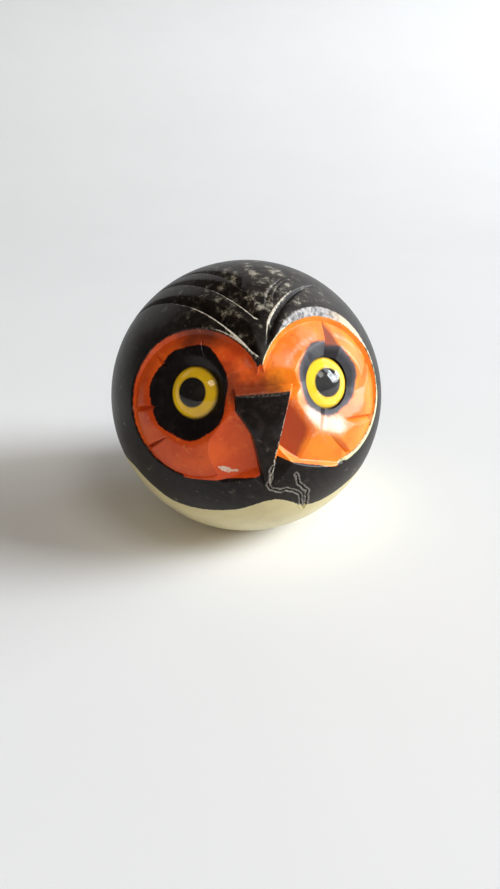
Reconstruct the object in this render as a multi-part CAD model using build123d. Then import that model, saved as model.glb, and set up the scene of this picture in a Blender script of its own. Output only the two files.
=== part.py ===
from build123d import *
import math
import os

# Hand-carved stone owl: a dyed alabaster ball on a small ground flat, with two glass eyes
# cemented into drilled sockets. Millimetres and degrees. +Z is up, the face looks along -Y,
# and the origin is the centre of the ground flat. Carving is worked out about the ball's
# centre and lifted onto the flat at the end.

# Ball
BALL_RADIUS = 36.0
FLAT_RADIUS = 11.0
BALL_CENTRE_Z = math.sqrt(BALL_RADIUS**2 - FLAT_RADIUS**2)

# Eye sockets, left (-1) and right (+1): where each rim sits as seen from the ball's centre, and
# where the drill pointed. They differ a little, because the sockets were drilled by hand.
EYE_PLACE = {-1: (25.7, -29.6), 1: (25.0, 31.9)}
EYE_LOOK = {-1: (25.6, -35.0), 1: (25.6, 27.0)}
BEAD_RADIUS = 6.0
BORE_RADIUS = 6.25
RIM_HEIGHT = 32.4
BORE_FLOOR = 24.4
DRILL_POINT = 1.9
DRILL_TIP_RADIUS = 0.01

# Glass eye, measured up from its rim
DOME_RISE = 2.9
IRIS_RISE = 0.7
IRIS_RADIUS = 5.8
PUPIL_RADIUS = 3.0
PUPIL_DEPTH = 0.5
BEAD_EDGE = 0.8
BACK_RISE = 2.2
WIRE_RADIUS = 0.45
WIRE_GRIP = 1.6
WIRE_REACH = 2.6
WIRE_FOOT = 1.8

# Facial discs: direction and angular radius of each, left (-1) and right (+1)
DISC_ELEVATION = {-1: 21.2, 1: 22.3}
DISC_AZIMUTH = {-1: 28.6, 1: 31.3}
DISC_ANGLE = {-1: 28.5, 1: 29.6}
RIM_LEAN = 27.0
RING_BALL_RADIUS = 30.1
RING_BALL_SHIFT = 5.7
RING_BALL_TILT = 12.0
CONE_FOOT = 26.0
CUT_CLEAR = 12.0

# Bevel over the right disc: direction and angular radius of its edge, and its lean from upright
BEVEL = (29.2, 34.6, 25.5, 55.0)

# Dish around each eye: how far out each flat's ridge lies, from outwards round over the top
DISH_SEAT_RADIUS = 6.6
DISH_RIDGES = {
    -1: (11.2, 11.3, 9.7, 8.6, 8.7, 8.9, 10.2, 10.1, 11.0),
    1: (14.0, 13.4, 11.2, 10.6, 9.6, 11.4, 13.8, 14.5, 14.1),
}
DISH_TURN = {-1: 18.0, 1: 10.0}
RIDGE_DEPTH = {-1: 1.0, 1: 0.6}

# Beak: a wedge left standing between the cheeks
BEAK_TOP_ELEVATION = 24.9
BEAK_TOP_AZIMUTH = {-1: -9.5, 1: 11.1}
BEAK_TIP_ELEVATION = -10.0
BEAK_TIP_AZIMUTH = {-1: 0.1, 1: 2.3}
BEAK_WALL_LEAN = 18.0
BEAK_TOP_LEAN = 45.0

# Bridge between the discs, cheeks beside the beak, chin edge and grooves beside the beak's tip
BRIDGE_ELEVATION = 27.6
BRIDGE_AZIMUTH = 13.0
BRIDGE_DEPTH = 1.9
BRIDGE_FOOT_ELEVATION = 21.0
BRIDGE_FOOT_LEAN = 60.0
BROW_ELEVATION = 37.5
BROW_AZIMUTH = 1.0
BROW_DEPTH = 0.9
CHEEK = {
    -1: ((18.9, -12.5, 0.6), (-4.5, -17.5, 0.5), (-3.5, -3.7, 2.2)),
    1: ((21.5, 12.6, 0.8), (2.4, 17.8, 0.7), (2.0, 7.0, 2.8)),
}
# A second facet at the foot of the right cheek
CHEEK_FOOT = ((8.5, 17.2, 0.5), (-6.3, 33.7, 0.3), (-3.1, 14.7, 1.5))
CHIN_OUTER = {-1: (-7.6, 27.0), 1: (-6.8, 27.0)}
CHIN_INNER = {-1: (-5.4, 2.0), 1: (-0.5, 5.5)}
CHIN_LEAN = 35.0
TIP_GROOVE_TOP = (-1.0, 3.0, 2.0)
TIP_GROOVE_END = (-11.5, 1.4, 0.0)
TIP_GROOVE_SIDE = (-2.0, 11.0, 0.0)

# Ray notches across each ridge: start and end in the eye's plane, as (outwards, upwards, depth),
# and the leans of the walls on their clockwise and anticlockwise sides
NOTCHES = {
    -1: (((1.7, 13.9, 1.3), (-1.3, 8.4, 2.0), 30, 30),
         ((13.4, 8.0, 1.2), (7.4, 4.4, 2.5), 20, 45),
         ((16.8, -6.8, 1.4), (9.0, -4.9, 1.9), 30, 35),
         ((11.8, -15.4, 1.5), (8.0, -13.2, 1.3), 40, 25)),
    1: (((5.3, 14.7, 1.7), (1.9, 7.2, 3.7), 62, 10),
        ((18.6, 4.2, 1.3), (9.6, -2.4, 2.2), 45, 25),
        ((15.2, -11.6, 1.2), (5.8, -9.9, 1.9), 45, 25),
        ((2.6, -17.4, 1.4), (-0.6, -14.2, 1.3), 15, 50)),
}

# Brow grooves: each is cut by a V-edged wheel whose edge follows a circle on the ball.
# (axis elevation, axis azimuth, circle's angle, mid-cut azimuth, half its length, depth)
GROOVES = {
    -1: ((-6.2, -49.2, 64.3, -40.0, 58.0, 1.4),
         (-2.6, -49.4, 71.0, -45.0, 52.0, 1.4),
         (22.8, -53.3, 54.0, -55.0, 62.0, 1.3)),
    1: ((15.4, 49.2, 47.3, 30.0, 62.0, 1.2),
        (36.0, 49.2, 34.9, 35.0, 62.0, 0.8),
        (45.7, 47.4, 23.5, 35.0, 70.0, 0.7)),
}
# Leans of each groove's two walls from upright: towards the crown and towards the face
GROOVE_WALLS = {-1: (67.0, 23.0), 1: (42.0, 45.0)}
GROOVE_MIDDLE_ELEVATION = 80.0
PARTING_X = 1.6


def toward(elevation, azimuth):
    """Unit direction from the ball's centre. Azimuth 0 is the face, positive to its +X side."""
    e = math.radians(elevation)
    a = math.radians(azimuth)
    return Vector(math.sin(a) * math.cos(e), -math.cos(a) * math.cos(e), math.sin(e))


def on_ball(elevation, azimuth, depth=0.0):
    return toward(elevation, azimuth) * (BALL_RADIUS - depth)


def mirrored(spot, side):
    """An (elevation, azimuth, depth) spot given for the +X side, on the asked side."""
    elevation, azimuth, *depth = spot
    return on_ball(elevation, side * azimuth, *depth)


def frame_along(direction):
    """A plane through the ball's centre, its Z along direction and its Y upwards."""
    sideways = Vector(0, 0, 1).cross(direction).normalized()
    return Plane(origin=(0, 0, 0), x_dir=sideways, z_dir=direction)


def eye_frame(side):
    """An eye's drilling axis, with its Z measured so that the rim is RIM_HEIGHT up."""
    look = toward(*EYE_LOOK[side])
    frame = frame_along(look)
    frame.origin = (toward(*EYE_PLACE[side]) - look) * RIM_HEIGHT
    return frame


def height_in(frame, across, up, depth):
    """How high above a frame's origin the ball, pared down by that depth, lies."""
    seen = frame.origin.dot(frame.x_dir) + across
    raised = frame.origin.dot(frame.y_dir) + up
    height = math.sqrt((BALL_RADIUS - depth) ** 2 - seen**2 - raised**2)
    return height - frame.origin.dot(frame.z_dir)


def disc_frame(side):
    return frame_along(toward(DISC_ELEVATION[side], side * DISC_AZIMUTH[side]))


def convex(*faces):
    """The convex region behind each (point, outward normal) face."""
    solid = Box(*(4 * BALL_RADIUS,) * 3)
    for point, outward in faces:
        solid = split(solid, bisect_by=Plane(origin=point, z_dir=outward), keep=Keep.BOTTOM)
    return solid


def leaning_wall(a, b, outward_hint, lean):
    """Face through a and b that is square to the ball, then leans out by that angle as it sinks."""
    radial = ((a + b) * 0.5).normalized()
    square = a.cross(b).normalized()
    if square.dot(outward_hint) < 0:
        square = square * -1
    lean = math.radians(lean)
    return a, square * math.cos(lean) + radial * math.sin(lean)


def floor_through(a, b, c):
    """Face through three points, facing the ball's centre, so that what lies above is kept."""
    inward = (b - a).cross(c - a).normalized()
    if inward.dot(a) > 0:
        inward = inward * -1
    return a, inward


def flipped(face):
    return face[0], face[1] * -1


def beak_walls():
    walls = {}
    for side in (-1, 1):
        top = on_ball(BEAK_TOP_ELEVATION, BEAK_TOP_AZIMUTH[side])
        tip = on_ball(BEAK_TIP_ELEVATION, BEAK_TIP_AZIMUTH[side])
        walls[side] = leaning_wall(top, tip, Vector(side, 0, 0), BEAK_WALL_LEAN)
    return walls


def beak_top():
    left, right = (on_ball(BEAK_TOP_ELEVATION, BEAK_TOP_AZIMUTH[side]) for side in (-1, 1))
    return leaning_wall(left, right, Vector(0, 0, 1), BEAK_TOP_LEAN)


def cone_cut(angle, lean, foot):
    """Everything above a foot inside a circle on the ball, with a wall that opens outwards."""
    angle = math.radians(angle)
    opening = math.tan(angle + math.radians(lean))
    apex = BALL_RADIUS * math.cos(angle) - BALL_RADIUS * math.sin(angle) / opening
    foot = max(foot, apex)
    top = BALL_RADIUS + CUT_CLEAR
    cone = Cone(
        (foot - apex) * opening,
        (top - apex) * opening,
        top - foot,
        align=(Align.CENTER, Align.CENTER, Align.MIN),
    )
    return Pos(0, 0, foot) * cone


def disc_cone(side):
    """Everything inside one facial disc's rim."""
    return disc_frame(side) * cone_cut(DISC_ANGLE[side], RIM_LEAN, CONE_FOOT)


def bevel_cut():
    elevation, azimuth, angle, lean = BEVEL
    return frame_along(toward(elevation, azimuth)) * cone_cut(angle, lean, CONE_FOOT)


def ring_ball(side):
    """The gentle dome that the disc's floor is cut to, deepest under the brow."""
    lower = toward(DISC_ELEVATION[side] - RING_BALL_TILT, side * DISC_AZIMUTH[side])
    return frame_along(lower) * Pos(0, 0, RING_BALL_SHIFT) * Sphere(RING_BALL_RADIUS)


def bridge_cut():
    left, right = (on_ball(BRIDGE_ELEVATION, side * BRIDGE_AZIMUTH, BRIDGE_DEPTH)
                   for side in (-1, 1))
    brow = on_ball(BROW_ELEVATION, BROW_AZIMUTH, BROW_DEPTH)
    foot = leaning_wall(on_ball(BRIDGE_FOOT_ELEVATION, -BRIDGE_AZIMUTH),
                        on_ball(BRIDGE_FOOT_ELEVATION, BRIDGE_AZIMUTH),
                        Vector(0, 0, 1), BRIDGE_FOOT_LEAN)
    return convex(floor_through(left, right, brow), flipped(foot))


def cheek_cut(side, wall, spots):
    chin = leaning_wall(mirrored(CHIN_OUTER[side], side), mirrored(CHIN_INNER[side], side),
                        Vector(0, 0, -1), -CHIN_LEAN)
    floor = floor_through(*(on_ball(*spot) for spot in spots))
    return convex(flipped(wall), floor, chin)


def tip_groove(side, wall):
    spots = (TIP_GROOVE_TOP, TIP_GROOVE_END, TIP_GROOVE_SIDE)
    return convex(flipped(wall), floor_through(*(mirrored(p, side) for p in spots)))


def dish_cut(side):
    """The many-sided dish around an eye: flats that rise from the bead's seat to their ridge."""
    frame = eye_frame(side)
    flats = []
    for i, ridge in enumerate(DISH_RIDGES[side]):
        turn = math.radians(DISH_TURN[side] + i * 360.0 / len(DISH_RIDGES[side]))
        out = Vector(side * math.cos(turn), math.sin(turn), 0)
        ridge_height = height_in(frame, out.X * ridge, out.Y * ridge, RIDGE_DEPTH[side])
        rise = Vector(out.X, out.Y, 0) * (ridge - DISH_SEAT_RADIUS)
        rise = rise + Vector(0, 0, ridge_height - RIM_HEIGHT)
        along = Vector(-out.Y, out.X, 0)
        below = rise.cross(along).normalized()
        if below.Z > 0:
            below = below * -1
        seat = out * DISH_SEAT_RADIUS + Vector(0, 0, RIM_HEIGHT)
        flats.append((seat, below))
    return frame * convex(*flats)


def socket(side):
    """Drilled bore with the drill's point at its end, open to the dish."""
    straight = Cylinder(BORE_RADIUS, BALL_RADIUS + CUT_CLEAR - BORE_FLOOR,
                        align=(Align.CENTER, Align.CENTER, Align.MIN))
    point = Cone(DRILL_TIP_RADIUS, BORE_RADIUS, DRILL_POINT,
                 align=(Align.CENTER, Align.CENTER, Align.MAX))
    return eye_frame(side) * Pos(0, 0, BORE_FLOOR) * (straight + point)


def notch_cut(side, start, end, clockwise, anticlockwise):
    """A V notch that runs from the rim's foot across the ridge and dies out in the dish."""
    frame = eye_frame(side)
    outer, inner = (Vector(side * out, up, height_in(frame, side * out, up, depth))
                    for out, up, depth in (start, end))
    line = (inner - outer).normalized()
    across = line.cross(Vector(0, 0, 1)).normalized()
    upward = across.cross(line).normalized()
    if upward.Z < 0:
        upward = upward * -1
    faces = []
    for lean, way in ((clockwise, across), (anticlockwise, across * -1)):
        lean = math.radians(lean)
        faces.append((outer, way * -math.cos(lean) - upward * math.sin(lean)))
    return frame * convex(*faces)


def groove_cut(side, axis_elevation, axis_azimuth, angle, mid_azimuth, half_length, depth):
    """A V-edged ring, set off centre so that its cut is deepest mid-way and fades at both ends."""
    alpha = math.radians(angle)
    frame = frame_along(toward(axis_elevation, axis_azimuth))
    # the mid-cut point is where the circle comes nearest to the asked azimuth
    best = min(
        (math.radians(t) for t in range(360)),
        key=lambda t: (frame.from_local_coords(Vector(
            math.sin(alpha) * math.cos(t), math.sin(alpha) * math.sin(t), math.cos(alpha)))
            - toward(GROOVE_MIDDLE_ELEVATION, mid_azimuth)).length,
    )
    middle = Vector(math.sin(alpha) * math.cos(best), math.sin(alpha) * math.sin(best),
                    math.cos(alpha))
    fade = 1 - math.cos(math.radians(half_length))
    shift = depth / (math.sin(alpha) ** 2 * fade)
    radius = BALL_RADIUS + shift - depth
    outward = Vector(math.sin(alpha), math.cos(alpha))
    away = Vector(math.cos(alpha), -math.sin(alpha))
    crown, face = (math.radians(lean) for lean in GROOVE_WALLS[side])
    bottom = outward * radius
    crown_end = bottom + (outward * math.cos(crown) + away * math.sin(crown)) * CUT_CLEAR
    face_end = bottom + (outward * math.cos(face) - away * math.sin(face)) * CUT_CLEAR
    corners = [(p.X, 0, p.Y) for p in (bottom, crown_end, face_end)]
    ring = frame * Pos(*(middle * -shift)) * revolve(
        make_face(Polyline(*corners, close=True)), axis=Axis.Z)
    past_parting = Plane(origin=(PARTING_X, 0, 0), z_dir=(side, 0, 0))
    return split(ring, bisect_by=past_parting, keep=Keep.TOP)


def stone_body():
    stone = Sphere(BALL_RADIUS)
    walls = beak_walls()
    beak = convex(walls[-1], walls[1], beak_top())
    cones = {side: disc_cone(side) for side in (-1, 1)}
    for side in (-1, 1):
        stone -= cones[side] - ring_ball(side) - beak
    bridge = bridge_cut()
    for side in (-1, 1):
        stone -= bridge & cones[side] - beak
    for side in (-1, 1):
        stone -= cheek_cut(side, walls[side], CHEEK[side])
        stone -= tip_groove(side, walls[side])
        stone -= dish_cut(side) & cones[side] - beak
        for notch in NOTCHES[side]:
            stone -= (notch_cut(side, *notch) & cones[side]) - beak
        for groove in GROOVES[side]:
            stone -= groove_cut(side, *groove)
        stone -= socket(side)
    stone -= cheek_cut(1, walls[1], CHEEK_FOOT)
    stone -= bevel_cut() - cones[1]
    below_flat = Pos(0, 0, -BALL_CENTRE_Z) * Box(
        3 * BALL_RADIUS, 3 * BALL_RADIUS, BALL_RADIUS,
        align=(Align.CENTER, Align.CENTER, Align.MAX))
    return stone - below_flat


def cap(rim_radius, rise):
    """A domed cap that stands on Z 0, with that rim radius and rise."""
    radius = (rim_radius**2 + rise**2) / (2 * rise)
    ball = Pos(0, 0, rise - radius) * Sphere(radius)
    above = Box(*(4 * radius,) * 3, align=(Align.CENTER, Align.CENTER, Align.MIN))
    return ball & above


def eye_pieces():
    """One glass eye about its rim's centre, looking along +Z, with its wire shank."""
    bead = Cylinder(BEAD_RADIUS, BEAD_EDGE, align=(Align.CENTER, Align.CENTER, Align.MAX))
    back = Pos(0, 0, -BEAD_EDGE) * Rot(180, 0, 0) * cap(BEAD_RADIUS, BACK_RISE)
    iris = bead + back + cap(IRIS_RADIUS, IRIS_RISE)
    pupil_well = Pos(0, 0, IRIS_RISE - PUPIL_DEPTH) * Cylinder(
        PUPIL_RADIUS, CUT_CLEAR, align=(Align.CENTER, Align.CENTER, Align.MIN))
    pupil = cap(IRIS_RADIUS, IRIS_RISE) & pupil_well
    lens = cap(BEAD_RADIUS, DOME_RISE) - cap(IRIS_RADIUS, IRIS_RISE)
    iris = iris - pupil_well
    stem_top = -BEAD_EDGE - BACK_RISE + WIRE_GRIP
    stem_foot = -BEAD_EDGE - BACK_RISE - WIRE_REACH
    path = FilletPolyline(
        (0, 0, stem_top), (0, 0, stem_foot), (WIRE_FOOT, 0, stem_foot), radius=2 * WIRE_RADIUS)
    section = Plane(origin=(0, 0, stem_top), z_dir=(0, 0, -1)) * Circle(WIRE_RADIUS)
    wire = sweep(section, path=path)
    return {"glass_dome": lens, "iris_bead": iris - wire, "pupil": pupil, "wire_shank": wire}


def main():
    os.makedirs("parts", exist_ok=True)
    lift = Pos(0, 0, BALL_CENTRE_Z)
    export_step(lift * stone_body(), "parts/stone_body.step")
    for side, word in ((-1, "left"), (1, "right")):
        seat = lift * eye_frame(side).location * Pos(0, 0, RIM_HEIGHT)
        pieces = eye_pieces()
        bed_height = RIM_HEIGHT - BORE_FLOOR - BEAD_EDGE
        bed = Pos(0, 0, -BEAD_EDGE) * Cylinder(
            BORE_RADIUS, bed_height, align=(Align.CENTER, Align.CENTER, Align.MAX))
        bed += Pos(0, 0, BORE_FLOOR - RIM_HEIGHT) * Cone(
            DRILL_TIP_RADIUS, BORE_RADIUS, DRILL_POINT, align=(Align.CENTER, Align.CENTER, Align.MAX))
        for piece in ("iris_bead", "wire_shank"):
            bed -= pieces[piece]
        pieces["cement_bed"] = bed
        for name, piece in pieces.items():
            export_step(seat * piece, f"parts/{word}_{name}.step")


main()
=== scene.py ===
from math import cos, pi, radians, sin, sqrt, tan

import bpy
import numpy as np
from mathutils import Matrix, Vector


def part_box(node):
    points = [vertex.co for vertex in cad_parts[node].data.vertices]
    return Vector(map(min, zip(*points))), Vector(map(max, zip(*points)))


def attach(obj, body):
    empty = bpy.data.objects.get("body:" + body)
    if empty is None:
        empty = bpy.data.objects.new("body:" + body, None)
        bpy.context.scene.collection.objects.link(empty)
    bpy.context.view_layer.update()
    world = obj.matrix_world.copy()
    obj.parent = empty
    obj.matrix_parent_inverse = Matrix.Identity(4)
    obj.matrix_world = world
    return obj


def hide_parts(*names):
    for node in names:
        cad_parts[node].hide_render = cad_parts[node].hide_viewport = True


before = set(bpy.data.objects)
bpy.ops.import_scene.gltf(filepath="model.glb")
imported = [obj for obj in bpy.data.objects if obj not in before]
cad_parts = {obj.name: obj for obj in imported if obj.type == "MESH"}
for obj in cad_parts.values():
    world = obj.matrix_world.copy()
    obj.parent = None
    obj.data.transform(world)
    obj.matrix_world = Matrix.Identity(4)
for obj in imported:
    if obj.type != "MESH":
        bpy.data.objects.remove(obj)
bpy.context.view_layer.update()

# A hand-carved stone ball owl with glass eyes. The carving is worked out in millimetres about
# the ball's centre, with azimuth 0 at the face (-Y) and positive towards +X, and elevation up
# from the level. Side -1 is the left of the face as seen from the front, side 1 the right.

MM = 0.001
FAR = 1e3
GRAZING = 1e-6
LATTICE = 64
SIDES = (-1, 1)
WORD = {-1: "left", 1: "right"}
UP = np.array([0.0, 0.0, 1.0])
LEFT = np.array([-1.0, 0.0, 0.0])

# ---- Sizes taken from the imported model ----

BODY_LOW, BODY_HIGH = (np.array(corner, float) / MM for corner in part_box("stone_body"))
BALL = (BODY_HIGH[0] - BODY_LOW[0]) / 2
CENTRE = np.array([0.0, 0.0, BODY_HIGH[2] - BALL])

# ---- Driving dimensions of the carving ----

# Eyes: where each rim sits, where it looks, and the glass itself
EYE_PLACE = {-1: (25.7, -29.6), 1: (25.0, 31.9)}
EYE_LOOK = {-1: (25.6, -35.0), 1: (25.6, 27.0)}
RIM_HEIGHT = 32.4
BEAD_RADIUS = 6.0
BORE_RADIUS = 6.2
BORE_FLOOR = 24.4
DRILL_POINT = 1.9
DOME_RISE = 2.9
IRIS_RADIUS = 5.8
IRIS_RISE = 0.7
PUPIL_RADIUS = 3.0
PUPIL_DEPTH = 0.5
WELL = RIM_HEIGHT + IRIS_RISE - PUPIL_DEPTH
BEAD_EDGE = 0.8
BACK_RISE = 2.2

# Facial discs: elevation, azimuth, angular radius, and how much wider than tall each is. Their
# floors lie on a smaller ball, shifted forwards along a line that is tilted down from the disc.
DISC = {-1: (21.2, -28.6, 28.5, 1.0), 1: (22.3, 31.4, 29.2, 1.03)}
RIM_LEAN = 27.0
RING_BALL = 30.1
RING_SHIFT = 5.7
RING_TILT = 12.0

# Dish round each eye: how far out each flat's ridge lies, from outwards round over the top
RIDGES = {
    -1: (11.2, 11.2, 9.6, 8.6, 8.6, 8.9, 10.2, 10.0, 11.0),
    1: (14.0, 13.4, 11.2, 10.6, 9.6, 11.4, 13.8, 14.5, 14.0),
}
DISH_TURN = {-1: 18.0, 1: 10.0}
SEAT_RADIUS = 6.5
RIDGE_DEPTH = {-1: 1.0, 1: 0.6}
FLAT_BLEND = {-1: 0.7, 1: 0.05}
RIDGE_BLEND = {-1: 1.2, 1: 0.1}

# Beak: the sides of the wedge left standing, each between (elevation, azimuth) corners; the left
# one has a high part, a slant and a low part
BEAK_RIGHT = ((24.9, 11.1), (8.5, 5.3))
BEAK_TOP = ((24.9, -9.5), (24.9, 11.1))
BEAK_LEFT = (((25.5, -10.2), (21.0, -9.8)), ((20.5, -9.9), (11.6, -4.6)),
             ((11.6, -4.4), (-9.5, -0.4)))
BEAK_WALL_LEAN = 18.0
BEAK_TOP_LEAN = 45.0

# Bridge over the beak, as (elevation, azimuth, depth), the wall at its foot, and the straight
# edges under the parting, where it meets the discs' rims
BRIDGE = ((27.4, -13.0, 1.9), (27.4, 13.0, 1.9), (37.5, 1.0, 0.9))
BRIDGE_FOOT = ((21.0, -13.0), (21.0, 13.0))
BRIDGE_FOOT_LEAN = 60.0
BROW_EDGE = {-1: ((40.0, -3.7), (36.9, 0.6)), 1: ((36.9, 0.6), (41.0, 6.8))}
BRIDGE_LOWEST = 27.0

# Cheeks beside the beak, the chin under them, and the grooves by the beak's tip
CHEEK = {-1: ((18.9, -12.5, 0.6), (-4.5, -17.5, 0.5), (-3.5, -3.7, 2.2)),
         1: ((21.5, 12.6, 0.8), (2.4, 17.8, 0.7), (2.0, 7.0, 2.8))}
CHEEK_FOOT = ((8.5, 17.2, 0.5), (-6.3, 33.7, 0.3), (-3.1, 14.7, 1.5))
CHIN = {-1: ((-7.6, -27.0), (-5.6, -2.0)), 1: ((-7.7, 27.0), (0.4, 6.5))}
CHIN_LEAN = 35.0
TIP_GROOVE = {-1: ((-1.0, -3.0, 1.5), (-10.5, -0.6, 0.0), (-4.0, -7.0, 0.0)),
              1: ((4.0, 4.8, 2.4), (-11.0, 2.4, 0.0), (-1.5, 10.5, 0.0))}

# Ray notches across each ridge: start and end in the eye's plane, as (outwards, upwards, depth),
# and the leans of the walls on their clockwise and anticlockwise sides
NOTCHES = {
    -1: (((1.7, 13.9, 1.3), (-1.3, 8.4, 2.0), 30, 30),
         ((13.4, 8.0, 1.2), (7.4, 4.4, 2.5), 20, 45),
         ((16.8, -6.8, 1.4), (9.0, -4.9, 1.9), 30, 35),
         ((11.8, -15.4, 1.5), (8.0, -13.2, 1.3), 40, 25)),
    1: (((5.3, 14.7, 1.7), (1.9, 7.2, 3.7), 62, 10),
        ((18.6, 4.2, 1.3), (9.6, -2.4, 2.2), 45, 25),
        ((15.2, -11.6, 1.2), (5.8, -9.9, 1.9), 45, 25),
        ((2.6, -17.4, 1.4), (-0.6, -14.2, 1.3), 15, 50)),
}

# The notches whose clockwise walls get painted shade, dark red over the orange
SHADED_NOTCHES = {-1: (NOTCHES[-1][0], NOTCHES[-1][3]), 1: (NOTCHES[1][0], NOTCHES[1][3])}

# Brow grooves: a circle's elevation, azimuth and angle, the depth, the slopes of the walls
# towards the crown and towards the face, and the azimuths where it starts and has faded away
GROOVES = {
    -1: ((-6.2, -49.2, 64.3, 1.7, 0.42, 2.4, 1.0, -104),
         (-2.6, -49.4, 71.0, 1.7, 0.42, 2.4, 4.0, -106),
         (22.8, -53.3, 54.0, 1.3, 0.45, 2.2, -3.0, -112)),
    1: ((15.4, 49.2, 47.3, 1.3, 1.1, 1.0, 3.5, 75),
        (36.0, 49.2, 34.9, 0.70, 1.4, 0.8, 8.0, 62),
        (45.7, 47.4, 23.5, 0.60, 1.4, 0.8, 15.0, 58)),
}
# Over how many degrees a groove begins, the sine of the elevation where it ends and its fade
# above that, and how far its walls are drawn out past the ball
GROOVE_RUN_IN = 4.0
GROOVE_LOWEST = (0.35, 0.2)
GROOVE_OVERCUT = 0.5

# The bevel over the right disc: elevation, azimuth, angular radius and lean from upright
BEVEL = (29.2, 34.6, 25.5, 57.0)
BEVEL_STOP = 0.2

# Hand work: how far the ball lies inside its CAD size, how the faces waver, as (height, cell
# size, seed), the floors' share of that, and how round the edges are
BALL_INSET = 0.03
BALL_WAVER = (0.05, 14.0, 1)
WALL_WAVER = ((0.1, 3.0, 3), (0.04, 1.2, 4))
FLOOR_SHARE = 0.5
GROOVE_WAVER = (0.12, 5.0, 11)
EDGE_ROUNDING = 0.1

# A crack from the beak's tip down into the belly, as (elevation, azimuth), with its branch, how
# it wanders, and the raised lips along it
CRACK = (
    ((-1.3, 2.9), (-3.3, 1.9), (-7.2, 1.9), (-9.8, 0.7), (-11.8, 2.0), (-13.4, 5.6),
     (-12.9, 7.6), (-15.1, 11.9), (-17.4, 14.0), (-24.4, 15.7), (-28.8, 18.2)),
    ((-6.4, 11.4), (-10.8, 12.6), (-14.7, 15.5), (-16.8, 17.1), (-22.4, 17.9), (-28.3, 18.4)),
)
CRACK_DEPTH = 0.55
CRACK_WIDTH = 0.28
CRACK_WANDER = (0.22, 0.9, 20)
LIP_RISE = 0.16
LIP_PLACE = 0.48
LIP_WIDTH = 0.30

# Meshes: squares along the edge of the cube that the ball is blown up from, the share of its
# triangles kept, the angles above which edges stay sharp, and how far out the sockets' drill goes
GRID = 300
THINNED_TO = 0.17
STONE_CREASE = 28.0
EYE_CREASE = 40.0
BORE_PAST_RIM = 12.0

# Dye: the belly's edge as (azimuth, elevation) all the way round
BELLY_EDGE = ((-180, -20), (-150, -17), (-115, -17), (-80, -15), (-62, -14), (-51, -20.0),
              (-42, -24.6), (-28, -25.2), (-12, -22.9), (2, -17.9), (9, -20.0), (17, -25.7),
              (27, -27.0), (43, -23.8), (75, -20), (110, -17), (145, -21))

# The beak's black is carried past its left and top walls as painted shade. The orange stops short
# of the rims and takes in the cheeks, within a circle of (elevation, azimuth, reach).
BEAK_SHADE_PAST_LEFT = 0.5
BEAK_SHADE_PAST_TOP = 0.35
RIM_MARGIN = 0.25
CHEEK_REACH = (8.0, 15.0, 14.0)

# The black eye rings: (outwards, upwards, half width, half height), as laid on a ball of
# RING_REACH, their lobes as (height, number, turn), and where each edge fades
BLACK_RING = {-1: (1.1, -0.1, 9.5, 10.3), 1: (0.5, 0.9, 8.5, 8.4)}
RING_REACH = 33.6
RING_LOBES = ((0.03, 3, 0.6), (0.02, 7, 0.0))
RING_FADE = {-1: (-0.15, 0.15), 1: (-0.4, 0.5)}

# Pale crests, partly worn through to the stone and partly painted highlight: side, groove number,
# the azimuths where the pale line starts, is widest and ends, and its widest half width
WORN_AND_HIGHLIT_CRESTS = ((-1, 0, -66, -12, 0, 0.26), (-1, 1, -45, -12, 5, 0.2), (1, 0, 44, 9, 3, 0.34))
WORN_AND_HIGHLIT_END_SHARE = 0.3

# The pale line along the beak's right edge and down from its tip, partly wear and partly painted
# highlight, and its half width
WORN_AND_HIGHLIT_BEAK = ((25.0, 11.4), (16.0, 7.6), (6.0, 4.2), (1.5, 3.0), (-2.0, 3.2), (-5.0, 1.9),
             (-9.0, 1.2))
WORN_AND_HIGHLIT_BEAK_WIDTH = 0.14

# Pale marks on the left cheek, partly rubbed and partly painted highlight, as (half width, line),
# and how near them the mesh stays fine
RUBBED_AND_HIGHLIT_LINES = ((0.30, ((-1.7, -17.2), (-3.4, -13.8), (-3.9, -10.8))),
                (0.62, ((-2.3, -16.0), (-3.3, -13.9))))
FINE_REACH = 1.5

# Pale rims, partly wear and partly painted highlight: the azimuths where each starts and ends, its
# lowest elevation and half width, then how far outside the rim it lies and the elevation over which
# it fades
WORN_AND_HIGHLIT_RIM = {-1: (-24, -1, 34.0, 0.16), 1: (45, 75, 20.0, 0.2)}
WORN_AND_HIGHLIT_RIM_OUTSIDE = 0.1
WORN_AND_HIGHLIT_RIM_FADE = 5
NEARLY_DEGREES = 57  # a sine times this is nearly degrees

# The undyed strip under the right rim: the azimuths where it starts and ends and its width, then
# the sine of the elevation where it ends and its fade below that, and how far it laps the rim
BARE_STRIP = (22.0, 66.0, 0.85)
BARE_TOP = (0.25, 0.1)
BARE_LAP = 0.2

# The middle of the crown's mottling
MOTTLED_SPOT = (69.0, 12.0)

# Painted highlight: pale orange under the right eye, and along the ridges of its dish
HIGHLIGHT_UNDER_EYE = ((16.0, 20.5), (11.0, 24.5), (8.0, 31.5))
HIGHLIT_RIDGES = (((21.1, 12.6), (9.3, 16.9), (0.2, 27.8)),
               ((35.7, 12.8), (39.8, 18.0), (42.1, 25.4), (43.4, 33.0)),
               ((41.0, 46.3), (35.5, 54.3), (27.6, 61.1)))
HIGHLIGHT_REACH = 3.4
HIGHLIT_RIDGE_LAG = 2.2

# Painted shade: dark smudges on the orange, over the beak and under the left brow
SHADE_SMUDGES = (((30.5, -14.5), (27.2, -9.0), (27.0, 4.0)), ((46.0, -36.0), (48.0, -26.0)))

# What the painted zones' distances are limited to, and what they are where there is no zone
ZONE_LIMITS = (-8, 40)
CREST_LIMIT = 2.0
NO_CHEEK_SHADE = -2.0
OFF_WORN_AND_HIGHLIT = -1.0

# ---- Driving dimensions of the floor, the lights and the camera, in metres and degrees ----

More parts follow.
